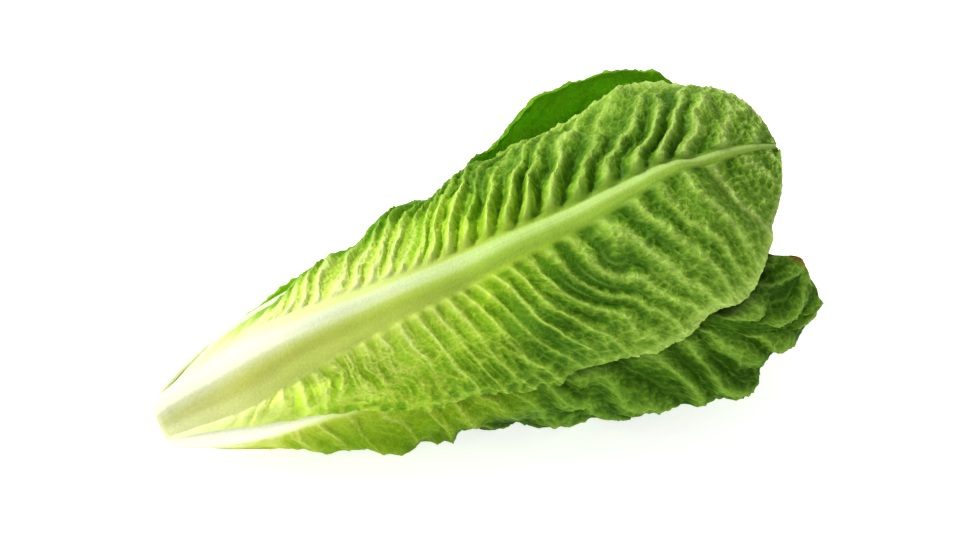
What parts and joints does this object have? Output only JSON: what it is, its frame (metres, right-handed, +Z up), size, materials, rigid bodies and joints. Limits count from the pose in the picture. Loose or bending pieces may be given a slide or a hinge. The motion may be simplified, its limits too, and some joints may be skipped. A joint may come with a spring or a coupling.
{
  "type": "romaine lettuce head",
  "caption": "Long romaine lettuce head lying on its side, crinkled ribbed leaves wrapped round a short cut stem.",
  "frame": {"origin": "on the table, under the middle of the head's bounding box", "axes": "+X from the cut stem to the leaf tips, +Y away from the front leaf, +Z up"},
  "size_m": [0.3004, 0.1568, 0.1385],
  "materials": {
    "outer_leaf": "satin green, pale rib",
    "heart_leaf": "satin pale yellow-green",
    "stem": "matt cream cut stem"
  },
  "bodies": {
    "root": {"leaf_01": "outer_leaf", "leaf_02": "outer_leaf", "leaf_03": "outer_leaf", "leaf_04": "outer_leaf", "leaf_05": "outer_leaf", "leaf_06": "outer_leaf", "leaf_07": "heart_leaf", "leaf_08": "heart_leaf", "leaf_09": "heart_leaf", "leaf_10": "heart_leaf", "leaf_11": "heart_leaf", "stem_core": "stem"}
  },
  "joints": []
}
